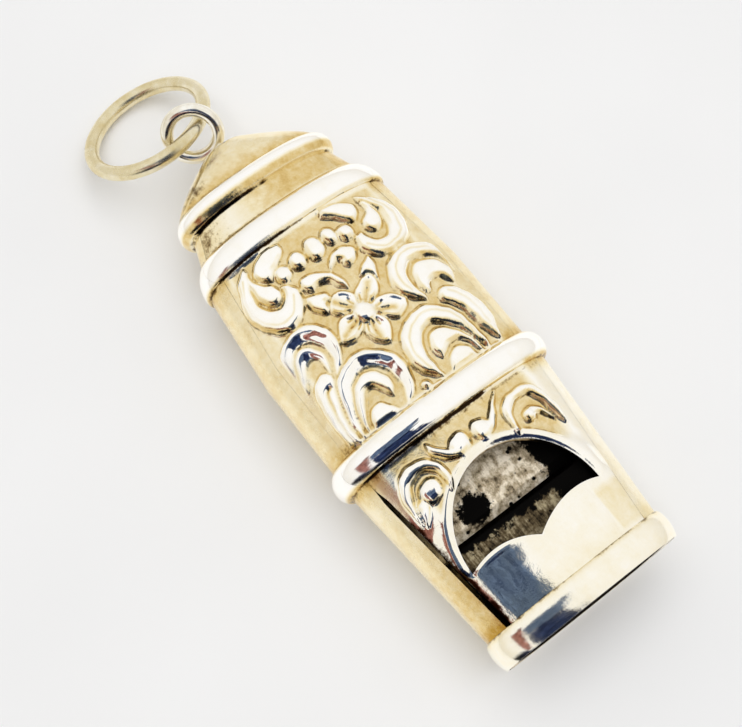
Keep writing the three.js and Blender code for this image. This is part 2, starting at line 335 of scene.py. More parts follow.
def oxidised_sheet(name, stops, pit_size, black_patches=(), scratched=0.6):
    """Unpolished silver sheet: cloudy oxide, scratches along the whistle, ragged pits of pit_size mm, and
    black patches (x, y, radius, within) that lie within their radius or outside it: stains, and painted shadow."""
    material, tree = new_material(name)
    here = add_node(tree, "ShaderNodeTexCoord"), "Object"
    along = add_node(tree, "ShaderNodeMapping", {}, {
        "Vector": here, "Rotation": (0, 0, 0.45), "Scale": (0.12, 1, 1)}), "Vector"
    cloud = noise(tree, here, 0.909, 8, 0.72)
    scratch = noise(tree, along, 0.2778, 4, 0.75)
    ragged = noise(tree, here, 0.5556, 6, 0.75)
    oxide = reckon(tree, "MULTIPLY_ADD", scratch, scratched, cloud)
    cells = add_node(tree, "ShaderNodeTexVoronoi", {}, {
        "Vector": here, "Scale": 1 / (pit_size * 7 * mm), "Randomness": 1.0}), "Distance"
    dark = rescale(tree, reckon(tree, "MULTIPLY_ADD", ragged, 0.45, cells), 0.37, 0.43, 1, 0)
    level = add_node(tree, "ShaderNodeVectorMath", {"operation": "MULTIPLY"}, {0: here, 1: (1, 1, 0)}), "Vector"
    for x, y, radius, within in black_patches:
        away = add_node(tree, "ShaderNodeVectorMath", {"operation": "DISTANCE"}, {
            0: level, 1: (x * mm, y * mm, 0)}), "Value"
        edge = reckon(tree, "MULTIPLY_ADD", ragged, 2.2 * mm, away)
        black_patch = rescale(tree, edge, (radius + 1.02) * mm, (radius + 1.18) * mm, float(within), 1.0 - within)
        dark = reckon(tree, "MAXIMUM", dark, black_patch)
    finish_with(tree, {"Base Color": mixed(tree, dark, tinted(tree, oxide, stops), linear("#070605")),
                       "Metallic": 0.35, "Roughness": 0.62, "Specular IOR Level": 0.05,
                       "Normal": embossed(tree, oxide, 0.5, 0.08)})
    return material


struck_silver = struck_silver_finish()
# The shells' insides are near-black: oxide, and painted shade of the dark interior
black_oxide_and_shade_inside = oxidised_sheet("oxidised_and_shaded_inside", [(0.3, "#080706"), (0.7, "#1B1611"), (1.0, "#332A20")],
                              0.15)
back_columns = 112
back_rows = barrel_rows(cap=6, dome=14, ridge=16, neck=8, collar=18, upper=32, band=18, lower=22, panel=8,
                        seat=5)
back_shell = sheet_from_grid("back_shell_tray", shell_points(back_rows, back_columns, -1)[:, ::-1])
back_shell.data.materials.append(struck_silver)
back_shell.data.materials.append(black_oxide_and_shade_inside)
apply_modifier(back_shell, "SOLIDIFY", thickness=sheet_thickness * mm, offset=-1, material_offset=1)
back_x, back_y, back_z = read(back_shell.data.vertices, "co", 3).T / mm
back_yellow, back_dirty, back_satin = wear_and_shade_at(back_x, back_y)
back_yellow += 0.26 * soft_step(back_x, 4, 12) * soft_step(back_z, 3.5, 6) * (back_yellow > 0.3)
back_yellow *= 1 - 0.5 * soft_step(back_y, 3, 6) * soft_step(back_x, lower_x, lower_x + 1)
set_wear_and_shade(back_shell.data, yellow=back_yellow, dirty=0.6 * back_dirty, satin=back_satin)
bpy.ops.object.shade_smooth_by_angle(angle=math.radians(50))
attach(back_shell, "whistle")
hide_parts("back_shell")


# Inner plates
# Three plates of silver sheet soldered inside: the windway's floor, the lip that the air strikes, and
# the plate that closes the mouth. No polishing wheel reaches them, so they stay grey, brown and pitted.
def dress_node(name, material):
    """A CAD node keeps its shape and takes a finish."""
    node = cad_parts[name]
    node.data.materials.clear()
    node.data.materials.append(material)


slit_x = 8.3
# On the lip plate, the black beyond a wide circle is a painted shadow under the window's edge; the small black
# disc is a tarnish blot
dress_node("lip_plate", oxidised_sheet(
    "grey_oxidised_sheet", [(0.48, "#4E4231"), (0.6, "#C2B193"), (0.72, "#FFF4DF")], 0.13,
    [(7.0, -8.0, 10.9, False), (6.6, -2.5, 1.1, True)], scratched=0.25))
# On the windway floor, both black patches are painted shadow: beyond a circle under the window's edge, and
# along the slit
dress_node("windway_floor", oxidised_sheet(
    "brown_oxidised_sheet", [(0.66, "#17110B"), (0.8, "#6B5D45"), (0.95, "#BDB08F")], 0.15,
    [(9.3, -1.8, 4.2, False), (slit_x - 40, -1.0, 40.6, True)]))
dress_node("mouth_plate", oxidised_sheet(
    "dull_mouth_sheet", [(0.6, "#2A2118"), (0.8, "#7D6E54"), (0.98, "#C9BC9D")], 0.15))


# Front shell
# The struck front half of the barrel, pressed in a die and chased: scrolls, leaves and a flower stand up
# from a matted ground. Its raised parts are polished bright, and its hollows have kept a straw tarnish.
fine = 4
front_columns = 176
front_rows = barrel_rows(cap=8, dome=32, ridge=24, neck=12, collar=28, upper=156, band=28, lower=96, panel=16,
                         seat=8)


def flowing(points, steps=8):
    """A smooth curve through the points of a drawing."""
    p = np.asarray(points, float)
    p = np.vstack([2 * p[0] - p[1], p, 2 * p[-1] - p[-2]])
    t = np.linspace(0, 1, steps, endpoint=False)[:, None]
    runs = [b + ((c - a) * t + (2 * a - 5 * b + 4 * c - d) * t ** 2 + (3 * b - a - 3 * c + d) * t ** 3) / 2
            for a, b, c, d in zip(p[:-3], p[1:-2], p[2:-1], p[3:])]
    return np.vstack(runs + [p[-2:-1]])


def leaf(*edges):
    """A closed outline of smooth edges that meet in points."""
    return np.vstack([flowing(edge) for edge in edges])


def oval(x, y, across, along=None):
    """A closed oval outline."""
    turn = np.linspace(0, 2 * math.pi, 28, endpoint=False)
    return np.stack([x + across * np.cos(turn), y + (along or across) * np.sin(turn)], axis=1)


def gap_to(line, spots, closed=False):
    """Each spot's distance to a line."""
    a = line if closed else line[:-1]
    run = np.roll(line, -1, axis=0) - line if closed else np.diff(line, axis=0)
    from_start = spots[:, None, :] - a[None]
    share = np.clip((from_start * run).sum(2) / np.maximum((run * run).sum(1), 1e-12), 0, 1)
    return np.linalg.norm(from_start - share[..., None] * run, axis=2).min(1)


def depth_inside(outline, spots):
    """Each spot's distance to an outline, positive inside it."""
    a, b = outline, np.roll(outline, -1, axis=0)
    x, y = spots[:, :1], spots[:, 1:]
    rise = np.where(np.abs(b[:, 1] - a[:, 1]) < 1e-9, 1e-9, b[:, 1] - a[:, 1])
    crossed = ((a[:, 1] > y) != (b[:, 1] > y)) & (x < (b[:, 0] - a[:, 0]) * (y - a[:, 1]) / rise + a[:, 0])
    gap = gap_to(outline, spots, closed=True)
    return np.where(crossed.sum(1) % 2 == 1, gap, -gap)


def near(outline, spots, margin):
    """The numbers of the spots that lie in an outline's box or within a margin of it."""
    return np.flatnonzero(((spots > outline.min(0) - margin) & (spots < outline.max(0) + margin)).all(1))


# Upper panel: two great C scrolls beside a row of beads, a five-petalled flower, and nested crescents
scroll_high = leaf(
    [(-15.8, 4.5), (-15.2, 5.5), (-14.2, 6.15), (-13, 6.42), (-11.9, 6.25), (-11.1, 5.7), (-10.75, 4.9),
     (-10.7, 4.1), (-10.9, 3.3), (-11.4, 2.65), (-12.1, 2.3), (-12.9, 2.4), (-13.15, 2.85)],
    [(-13.1, 3.2), (-12.5, 3.35), (-12.1, 3.7), (-11.95, 4.2), (-12.15, 4.75), (-12.65, 5.12), (-13.3, 5.26),
     (-14.0, 5.22), (-14.7, 4.75), (-15.3, 4.45)])
scroll_high_eye = leaf(
    [(-15.2, 4.75), (-14.5, 5.05), (-13.8, 5.14), (-13.2, 5.05), (-12.8, 4.75), (-12.7, 4.3), (-12.9, 3.85),
     (-13.3, 3.65), (-13.75, 3.75), (-14.05, 4.1), (-14.5, 4.45), (-15.2, 4.5)])
tongue_high = leaf(
    [(-16.3, 1.7), (-16.25, 2.6), (-15.9, 3.4), (-15.4, 3.95), (-14.9, 4.05), (-14.4, 3.85), (-14.12, 3.45),
     (-14.3, 3.0), (-14.8, 2.6), (-15.3, 2.1), (-15.7, 1.5)])
tongue_low = leaf(
    [(-15.9, -2.0), (-15.3, -2.05), (-14.85, -2.55), (-14.5, -3.2), (-14.1, -3.7), (-14.02, -4.15),
     (-14.4, -4.58), (-14.95, -4.65), (-15.5, -4.3), (-15.95, -3.6), (-16.15, -2.8)])
scroll_low = leaf(
    [(-16.0, -4.9), (-15.4, -5.75), (-14.5, -6.25), (-13.5, -6.55), (-12.5, -6.62), (-11.5, -6.4),
     (-10.7, -5.9), (-10.28, -5.3), (-10.2, -4.6), (-10.4, -3.9), (-10.9, -3.3), (-11.6, -2.95),
     (-12.4, -2.95), (-13.1, -3.3)],
    [(-13.2, -3.75), (-12.6, -3.85), (-12.15, -4.15), (-12.0, -4.6), (-12.2, -5.1), (-12.75, -5.5),
     (-13.5, -5.62), (-14.2, -5.5), (-14.9, -5.1), (-15.5, -4.85)])
scroll_low_eye = leaf(
    [(-15.4, -5.1), (-14.6, -5.35), (-13.8, -5.5), (-13.1, -5.38), (-12.55, -5.05), (-12.32, -4.55),
     (-12.55, -4.1), (-13.05, -3.92), (-13.6, -4.1), (-14.0, -4.5), (-14.6, -4.85), (-15.3, -4.95)])
hook = leaf(
    [(-11.85, -0.35), (-12.4, -0.12), (-12.85, 0.35), (-13.1, 1.0), (-12.95, 1.6), (-12.45, 2.0), (-11.9, 1.87),
     (-11.55, 1.4), (-11.6, 0.95), (-11.9, 0.72)],
    [(-12.15, 0.8), (-12.3, 0.5), (-12.1, 0.1), (-11.85, -0.35)])
curved_leaf = leaf(
    [(-10.2, -0.1), (-10.6, 0.0), (-11.2, -0.1), (-11.8, -0.35), (-12.3, -0.85), (-12.65, -1.45),
     (-12.75, -2.0), (-12.6, -2.5), (-12.1, -2.75), (-11.65, -2.5)],
    [(-11.5, -2.1), (-11.68, -1.6), (-11.55, -1.15), (-11.2, -0.82), (-10.65, -0.6), (-10.2, -0.1)])
leaf_high = leaf(
    [(-11.4, 2.5), (-10.8, 2.55), (-10.1, 2.22), (-9.4, 1.86)],
    [(-9.9, 1.72), (-10.3, 1.42), (-10.5, 0.98), (-10.75, 1.2), (-11.1, 1.75)])
leaf_low = leaf(
    [(-11.35, -2.9), (-11.25, -2.2), (-10.9, -1.6), (-10.45, -1.45)],
    [(-10.3, -1.95), (-9.7, -2.1), (-9.8, -2.6), (-10.4, -3.0), (-11.0, -3.08)])
crescent_a = leaf(
    [(-7.3, 6.75), (-8.6, 6.98), (-9.6, 6.6), (-10.3, 5.95), (-10.6, 5.0), (-10.5, 4.0), (-10.1, 3.2),
     (-9.4, 2.6), (-8.6, 2.35), (-7.7, 2.55), (-6.9, 3.1), (-6.45, 3.75)],
    [(-7.0, 3.68), (-7.8, 3.5), (-8.7, 3.65), (-9.25, 4.25), (-9.45, 5.0), (-9.3, 5.7), (-8.85, 6.25),
     (-8.2, 6.5), (-7.3, 6.75)])
crescent_a_inner = leaf(
    [(-6.5, 6.15), (-7.2, 6.45), (-8.1, 6.35), (-8.75, 5.95), (-9.1, 5.2), (-8.9, 4.5), (-8.35, 4.02),
     (-7.6, 3.86), (-6.75, 4.0)],
    [(-6.85, 4.4), (-7.3, 4.6), (-7.55, 5.0), (-7.4, 5.55), (-6.95, 5.78), (-6.5, 6.15)])
leaf_b = leaf(
    [(-1.2, 6.05), (-1.9, 6.35), (-2.8, 6.62), (-4, 6.7), (-5.2, 6.45), (-6.15, 5.9), (-6.6, 5.2), (-6.4, 4.6),
     (-5.85, 4.45), (-5.35, 4.75)],
    [(-4.7, 5.16), (-3.6, 5.4), (-2.4, 5.65), (-1.2, 6.05)])
crescent_c = leaf(
    [(-1.25, 4.95), (-2, 5.1), (-3.2, 5.02), (-4.3, 4.78), (-5.2, 4.3), (-5.9, 3.5), (-6.15, 2.6), (-6.0, 1.6),
     (-5.5, 0.8), (-4.7, 0.2), (-3.7, -0.05), (-2.7, 0.1), (-1.9, 0.6), (-1.35, 1.15)],
    [(-2.2, 1.12), (-3.2, 1.05), (-4.0, 1.32), (-4.6, 1.9), (-4.85, 2.7), (-4.5, 3.42), (-3.9, 4.0),
     (-3.1, 4.38), (-2.2, 4.55), (-1.25, 4.95)])
crescent_c_inner = leaf(
    [(-1.25, 4.4), (-2, 4.42), (-3.1, 4.12), (-3.95, 3.5), (-4.28, 2.8), (-4.1, 2.15), (-3.5, 1.72),
     (-2.9, 1.65), (-2.4, 1.95)],
    [(-2.8, 2.5), (-3.0, 3.0), (-2.9, 3.6), (-2.4, 4.0), (-1.25, 4.4)])
crescent_c_heart = leaf(
    [(-1.2, 3.85), (-1.9, 3.78), (-2.45, 3.25), (-2.4, 2.6), (-1.85, 2.1), (-1.2, 1.85)])
hollow_d = [(-2.2, -5.32), (-3.3, -5.0), (-4.2, -4.5), (-4.8, -3.9), (-5.05, -3.0), (-4.85, -2.2),
            (-4.25, -1.6), (-3.4, -1.34), (-2.4, -1.4), (-1.7, -1.72), (-1.25, -1.95)]
crescent_d = leaf(
    [(-1.25, -1.95), (-1.6, -1.3), (-2.3, -0.75), (-3.3, -0.45), (-4.3, -0.58), (-5.2, -1.1), (-5.9, -2.0),
     (-6.12, -3.0), (-5.9, -3.9), (-5.4, -4.6), (-4.6, -5.1), (-3.5, -5.42), (-2.3, -5.58),
     (-1.2, -5.55)], hollow_d)
crescent_d_inner = leaf(
    [(-2.45, -2.35), (-2.8, -2.02), (-3.4, -1.88), (-4.15, -2.2), (-4.58, -2.8), (-4.52, -3.6), (-4.1, -4.25),
     (-3.3, -4.72), (-2.2, -5.0), (-1.2, -5.12)],
    [(-2.2, -4.68), (-3.0, -4.3), (-3.58, -3.8), (-3.72, -3.3), (-3.45, -2.9), (-2.9, -2.65), (-2.45, -2.35)])
crescent_d_heart = leaf(
    [(-1.2, -2.55), (-1.9, -3.0), (-2.42, -3.5), (-2.3, -4.1), (-1.8, -4.48), (-1.2, -4.62)])
hollow_e = [(-7.2, -6.72), (-8.15, -6.35), (-8.8, -5.95), (-9.1, -5.35), (-8.98, -4.75), (-8.55, -4.25),
            (-7.9, -3.9), (-7.0, -3.92), (-6.4, -4.15), (-5.9, -4.35)]
crescent_e = leaf(
    [(-5.9, -4.35), (-6.4, -3.7), (-7.1, -3.2), (-8.0, -2.95), (-8.9, -3.2), (-9.6, -3.8), (-10.0, -4.6),
     (-10.0, -5.3), (-9.6, -6.0), (-9.1, -6.55), (-8.3, -6.95), (-7.2, -7.1), (-6.0, -7.0)], hollow_e)
hollow_e_inner = [(-6.7, -6.25), (-7.4, -5.95), (-7.8, -5.5), (-7.72, -5.05), (-7.2, -4.75), (-6.15, -4.75)]
crescent_e_inner = leaf(
    [(-6.15, -4.75), (-6.9, -4.42), (-7.6, -4.36), (-8.3, -4.7), (-8.72, -5.2), (-8.55, -5.8), (-8.0, -6.18),
     (-7.1, -6.5), (-6.2, -6.62)], hollow_e_inner)
leaf_f = leaf(
    [(-1.2, -5.9), (-2.8, -5.78), (-4.0, -5.52), (-5.0, -5.05), (-5.5, -4.75), (-6.05, -4.8), (-6.42, -5.25),
     (-6.25, -5.85), (-5.7, -6.3), (-4.8, -6.6), (-3.5, -6.76), (-2.2, -6.8), (-1.2, -6.7)])
petal_1 = leaf(
    [(-8.6, 0.35), (-8.55, 1.0), (-8.85, 1.5), (-9.5, 1.72), (-10.2, 1.55), (-10.25, 0.95), (-9.95, 0.3),
     (-9.55, -0.1), (-8.8, -0.1)])
petal_2 = leaf(
    [(-8.35, 0.4), (-8.4, 1.2), (-8.2, 1.9), (-7.75, 2.35), (-7.3, 2.62)],
    [(-6.85, 2.3), (-6.55, 1.75), (-6.5, 1.15), (-6.95, 0.55), (-7.6, 0.2)])
petal_3 = leaf(
    [(-7.5, 0.25), (-6.9, 0.5), (-6.3, 0.5), (-5.75, 0.28), (-5.33, -0.12)],
    [(-5.55, -0.6), (-6.15, -0.98), (-6.85, -1.18), (-7.45, -0.85)])
petal_4 = leaf(
    [(-7.4, -0.95), (-6.95, -1.5), (-6.85, -2.1), (-7.0, -2.6), (-7.3, -2.88)],
    [(-7.85, -2.72), (-8.4, -2.4), (-8.7, -1.95), (-8.55, -1.3), (-8.3, -0.9)])
petal_5 = leaf(
    [(-8.7, -0.9), (-8.75, -1.5), (-9.1, -1.95), (-9.6, -2.12), (-10.2, -1.65), (-10.42, -1.1), (-10.15, -0.45),
     (-9.6, -0.1), (-8.9, -0.25)])

# Each raised form has its outline, its rise, the width of its rounded shoulder, the depth of its dished middle
# and how far it spreads past its outline
crescent_rise, inner_rise, leaf_rise, petal_rise, bead_rise = 0.46, 0.33, 0.4, 0.34, 0.46
raised = [(outline, crescent_rise, 0.6, 0.0, 0.18) for outline in (
    crescent_a, crescent_c, crescent_d, crescent_e)]
raised += [(outline, crescent_rise, 0.6, 0.0, 0.12) for outline in (scroll_high, scroll_low)]
raised += [(outline, inner_rise, 0.5, 0.0, 0.15) for outline in (
    crescent_a_inner, crescent_c_inner, crescent_c_heart, crescent_d_inner, crescent_d_heart, crescent_e_inner)]
raised += [(outline, leaf_rise, 0.5, 0.0, 0.1) for outline in (
    scroll_high_eye, scroll_low_eye, tongue_high, tongue_low, hook, curved_leaf, leaf_high, leaf_low, leaf_b,
    leaf_f)]
raised += [(outline, petal_rise, 0.3, 0.14, 0.08) for outline in (petal_1, petal_2, petal_3, petal_4, petal_5)]
raised += [(oval(x, y, across, along), bead_rise, 0.62, 0.0, 0.1) for x, y, across, along in (
    (-13.8, 2.3, 0.66, 0.64), (-14.2, 1.18, 0.7, 0.6), (-14.1, -0.2, 0.97, 0.72), (-14.0, -1.65, 0.68, 0.62),
    (-13.8, -3.0, 0.72, 0.66), (-1.55, -0.25, 0.36, 0.34))]
boss, boss_radius = (-8.15, -0.35), 0.9
raised += [(oval(*boss, boss_radius), 0.52, 0.8, 0.0, 0.08)]

# Chased lines with their depth and width: along the backs of the scrolls and of two crescents, down two leaves,
# beside the window, and short ones in the petals
chased = [(flowing(points), 0.05, 0.09) for points in (
    [(-7.6, 6.5), (-8.8, 6.55), (-9.7, 6.05), (-10.1, 5.0), (-10.0, 4.1), (-9.5, 3.35), (-8.6, 2.95),
     (-7.4, 3.2)],
    [(-1.5, 4.8), (-3.1, 4.7), (-4.6, 4.25), (-5.4, 3.4), (-5.65, 2.6), (-5.4, 1.6), (-4.6, 0.75), (-3.6, 0.45),
     (-2.2, 0.75)],
    [(-15.2, 5.1), (-13.9, 5.75), (-12.8, 5.9), (-11.7, 5.5), (-11.25, 4.6), (-11.3, 3.7), (-12.0, 2.8)],
    [(-15.2, -5.4), (-13.9, -6.1), (-12.6, -6.2), (-11.4, -5.8), (-10.9, -5.0), (-11.1, -4.0), (-12.0, -3.4)],
    [(-6.1, 5.3), (-5.2, 5.85), (-4, 6.05), (-2.6, 6.1)])]
chased += [(flowing([(10.3, 3.9), (11.5, 4.05), (12.8, 3.95), (13.9, 3.75)]), 0.04, 0.12)]
chased += [(flowing([(-5.25, -5.3), (-5.0, -5.68), (-4.2, -5.98), (-3, -6.15), (-1.2, -6.32)]), 0.2, 0.13)]
petal_turns = np.radians([137, 62, -5, -72, -146])
for turn in petal_turns:
    for lean, reach in ((-0.34, 1.35), (0.0, 1.7), (0.34, 1.35)):
        way = np.array([math.cos(turn + lean), math.sin(turn + lean)])
        chased.append((np.array([boss + boss_radius * way, boss + reach * way]), 0.16, 0.1))

# Lower panel: two spirals and two commas round the sound window, which has a rolled lip
raised += [(outline, 0.42, 0.45, 0.0, 0.1) for outline in (
    leaf([(5.9, 5.75), (4.8, 6.0), (3.7, 5.87), (2.8, 5.6), (2.25, 5.1), (2.1, 4.3), (2.2, 3.5), (2.6, 2.9),
          (3.2, 2.5), (4.0, 2.38), (4.75, 2.55)],
         [(4.0, 2.85), (3.4, 3.1), (2.95, 3.6), (2.8, 4.2), (2.95, 4.8), (3.4, 5.2), (4.1, 5.45), (5.0, 5.5),
          (5.9, 5.75)]),
    leaf([(5.3, 5.3), (4.6, 5.2), (4.0, 4.85), (3.7, 4.35), (3.75, 3.85), (4.15, 3.55), (4.5, 3.7),
          (4.6, 4.05)],
         [(4.45, 4.4), (4.55, 4.8), (5.3, 5.3)]),
    leaf([(1.5, 3.15), (2.2, 2.6), (2.9, 2.1), (3.45, 1.55), (3.7, 0.95), (3.6, 0.35), (3.1, 0.03), (2.55, 0.2),
          (2.3, 0.75), (2.55, 1.25)],
         [(2.8, 1.5), (2.3, 2.1), (1.5, 3.15)]),
    leaf([(1.7, -2.85), (2.3, -2.95), (2.95, -2.55), (3.45, -1.95), (3.72, -1.25), (3.5, -0.6), (2.95, -0.28),
          (2.4, -0.5), (2.25, -1.0), (2.5, -1.45)],
         [(2.8, -1.65), (2.4, -2.2), (1.7, -2.85)]),
    leaf([(5.1, -3.2), (4.2, -2.8), (3.4, -2.75), (2.6, -3.2), (2.1, -3.95), (2.05, -4.8), (2.4, -5.55),
          (3.2, -6.0), (4.4, -6.15), (5.7, -6.15)],
         [(4.6, -5.8), (3.8, -5.55), (3.15, -5.15), (2.9, -4.6), (2.98, -3.9), (3.5, -3.42), (4.2, -3.25),
          (5.1, -3.2)]),
    leaf([(4.2, -5.0), (4.75, -4.95), (5.3, -5.3), (5.9, -5.9)], [(5.1, -5.8), (4.5, -5.55), (4.2, -5.0)]))]
raised += [(oval(x, y, across), 0.5, across, 0.0, 0.08) for x, y, across in (
    (3.0, 0.75, 0.78), (2.98, -1.0, 0.8), (4.15, 3.95, 0.52), (4.25, -4.4, 0.84))]
window_x, window_y, window_radius, window_length = 10.05, -0.2, 5.3, 5.75
bracket_swell, cusp_depth, cusp_y = 1.0, 0.75, -0.3


def window_edge(steps):
    """The sound window's outline: a half oval, and two shallow lobes that meet in a cusp."""
    turn = np.linspace(math.pi / 2, 3 * math.pi / 2, 2 * steps, endpoint=False)
    arc = np.stack([window_x + window_length * np.cos(turn), window_radius * np.sin(turn)], axis=1)
    t = np.linspace(0, 1, steps, endpoint=False)[:, None]
    tip = np.array([window_x, -window_radius])
    pull = np.array([window_x - bracket_swell, -window_radius / 2])
    cusp = np.array([window_x + cusp_depth, cusp_y])
    flip = np.array([1, -1])
    lobe = (1 - t) ** 2 * tip + 2 * t * (1 - t) * pull + t ** 2 * cusp
    other = (1 - t) ** 2 * cusp + 2 * t * (1 - t) * (pull * flip) + t ** 2 * (tip * flip)
    return np.vstack([arc, lobe, other]) + (0, window_y)


# The ornament is drawn with a hand that wavers a little, and struck up from the sheet
waver, small_waver = 0.045, 0.02
ground_depth, lip_rise, lip_edge, border_y = 0.17, 0.18, 0.04, 6.75
base = shell_points(front_rows, front_columns, 1)
grid = base.shape[:2]
flat = base[:, :, :2].reshape(-1, 2)
x, y = flat[:, 0], flat[:, 1]
drawn = flat + waver * np.stack([np.sin(2.3 * y + 0.9 * x), np.sin(1.9 * x - 1.1 * y)], axis=1)
drawn += small_waver * np.stack([np.sin(6.1 * y - 3.3 * x), np.sin(5.3 * x + 4.1 * y)], axis=1)
height = np.zeros(len(flat))
inside = np.full(len(flat), -9.0)
chased_here, hollowed = np.zeros(len(flat)), np.zeros(len(flat))
for outline, rise, shoulder, dish, fuller in raised:
    found = near(outline, drawn, 0.7)
    depth = depth_inside(outline, drawn[found]) + fuller
    round_up = 1 - (1 - np.clip(depth / shoulder, 0, 1)) ** 2.5
    hollow = dish * soft_step(depth, 0.6 * shoulder, 1.6 * shoulder)
    height[found] = np.maximum(height[found], rise * round_up - hollow)
    inside[found] = np.maximum(inside[found], depth)
for outline, inner_edge in ((crescent_d, hollow_d), (crescent_e, hollow_e), (crescent_e_inner, hollow_e_inner)):
    found = near(outline, drawn, 0.1)
    found = found[depth_inside(outline, drawn[found]) > -0.1]
    height[found] *= 1 - 0.75 * np.clip(1 - gap_to(flowing(inner_edge), drawn[found]) / 0.66, 0, 1)
    hollowed[found] = 1
for line, cut, width in chased:
    found = near(line, drawn, 0.4)
    mark = np.exp(-(gap_to(line, drawn[found]) / width) ** 2)
    height[found] -= cut * mark
    chased_here[found] = np.maximum(chased_here[found], mark * min(1, cut / 0.1))

window_line = window_edge(24)
beside_window = np.full(len(flat), 9.0)
found = near(window_line, flat, 2.0)
beside_window[found] = -depth_inside(window_line, flat[found])
to_border = border_y - np.abs(y)
in_upper = between(x, upper_x + 0.05, upper_x + 0.4, band_x - 0.3, band_x - 0.02)
in_lower = between(x, lower_x, lower_x + 0.25, 5.4, 7.6) * soft_step(beside_window, 0.5, 0.8)
in_lower *= 1 - soft_step(-y, 4.4, 5.2) * soft_step(x, 4.6, 5.4)
in_panel = np.maximum(in_upper * soft_step(to_border, 0.0, 1.3), in_lower * soft_step(to_border, 0.6, 1.5))
standing = np.maximum(in_upper, soft_step(x, lower_x, lower_x + 0.2)) * soft_step(to_border, -0.15, 0.25)
lip = lip_rise * between(beside_window, -0.1, 0.5, 0.45, 1.5)
lip *= soft_step(-x, -window_x - 0.3, 0.8 - window_x)
lip -= lip_edge * soft_step(-beside_window, -0.22, 0)
relief = (height * standing - ground_depth * in_panel + lip).reshape(grid)
padded = np.pad(relief, 1, mode="edge")
relief = 0.6 * relief + 0.1 * (padded[2:, 1:-1] + padded[:-2, 1:-1] + padded[1:-1, 2:] + padded[1:-1, :-2])
across_rows = np.gradient(base, axis=0)
across_columns = np.gradient(base, axis=1)
normals = np.cross(across_columns, across_rows)
normals /= np.maximum(np.linalg.norm(normals, axis=2, keepdims=True), 1e-9)
normals *= np.sign(normals[len(base) // 2, front_columns // 2, 2])
struck = base + normals * relief[..., None]

# Tarnish has stayed on the ground between the raised forms, in the hearts of the petals and beyond the crease
# beside the window; the yellow on the forms' sides towards the mouth is painted shade
on_low_side = soft_step(x, lower_x + 3.2, lower_x + 4.8) * (y < 0)
on_wall = soft_step(-to_border, -1.2 + 1.6 * on_low_side, -0.3 + 1.6 * on_low_side)
on_body = soft_step(x, upper_x - 0.3, upper_x)
clear_of_form = 1 - soft_step(inside, 0.02, 0.3)
out_x, out_y = [-np.gradient(inside.reshape(grid), axis=axis) / np.where(np.abs(step) < 1e-6, 1e-6, step)
                for axis, step in enumerate((np.gradient(x.reshape(grid), axis=0),
                                             np.gradient(y.reshape(grid), axis=1)))]
# Painted shade: slopes facing the mouth and -y are given darker yellow and dirt
shaded_side = np.clip(0.75 * out_x - 0.66 * out_y, 0, 1).ravel()
footed = np.maximum(in_upper, in_lower) * soft_step(to_border, -0.5, 0.1)
on_slope = between(inside, -0.05, 0.08, 0.34, 0.5) * (1 - hollowed)
beyond_crease = soft_step(y, 3.85, 4.15) * between(x, 10.1, 11, rim_x - 0.3, rim_x)
plain_yellow, plain_dirty, plain_satin = wear_and_shade_at(x, y)
plain_yellow *= 1 - 0.5 * soft_step(y, 3, 6) * soft_step(x, lower_x, lower_x + 1)
front_yellow = plain_yellow * (1 - on_body * (1 - np.maximum(on_wall, 0.4)))
front_yellow *= 1 - 0.85 * standing * (1 - clear_of_form)
hearts = [boss + np.outer((boss_radius, 2.1), (math.cos(turn), math.sin(turn))) for turn in petal_turns]
for tarnish_and_shade in (in_panel * np.maximum(0.66 * clear_of_form, 0.9 * chased_here), 0.42 * beyond_crease,
                0.76 * footed * on_slope * shaded_side,
                *(0.75 * np.exp(-(gap_to(heart, drawn) / 0.3) ** 2) for heart in hearts)):
    front_yellow = np.maximum(front_yellow, tarnish_and_shade)
front_satin = plain_satin * (1 - on_body * (1 - np.maximum(on_wall, 0.06)))
front_satin = np.maximum(front_satin, 0.75 * in_panel * clear_of_form)

# Dirt and painted shade lie at the feet of the forms, most on their shaded sides, and below the middle band,
# whose foot has a painted shadow; black lies along one side of the lower body's seam
foot = np.exp(-((inside - 0.05) / 0.1) ** 2)
under_band_shade = between(x, lower_x - 0.1, lower_x + 0.1, lower_x + 0.1, lower_x + 0.9)
band_foot_shadow = np.exp(-((x - lower_x - 0.06) / 0.17) ** 2) * between(y, -5, -3, 2, 3.5)
above_seam = base[:, :, 2].ravel() - axis_height - np.interp(x, seam_x, seam_height)
black_seam = np.exp(-(above_seam / 0.27) ** 2) * (y < 0) * soft_step(-x, -rim_x, 0.4 - rim_x)
# The barrel's dirt and painted shade are made heavier towards -y, the shaded side
front_dirty = plain_dirty * (0.35 + 0.65 * soft_step(-y, -2, 2.5))
for dirt in (footed * foot * (0.2 + 0.42 * shaded_side), 0.5 * under_band_shade * in_lower, 0.9 * band_foot_shadow,
             black_seam * (0.42 * soft_step(x, 1.2, 1.8) + 0.5 * soft_step(x, 3.5, 6.5))):
    front_dirty = np.maximum(front_dirty, dirt)


def edit_whole(edit, **settings):
    """An edit of all of the active mesh."""
    bpy.ops.object.mode_set(mode="EDIT")
    bpy.ops.mesh.select_all(action="SELECT")
    edit(**settings)
    bpy.ops.object.mode_set(mode="OBJECT")


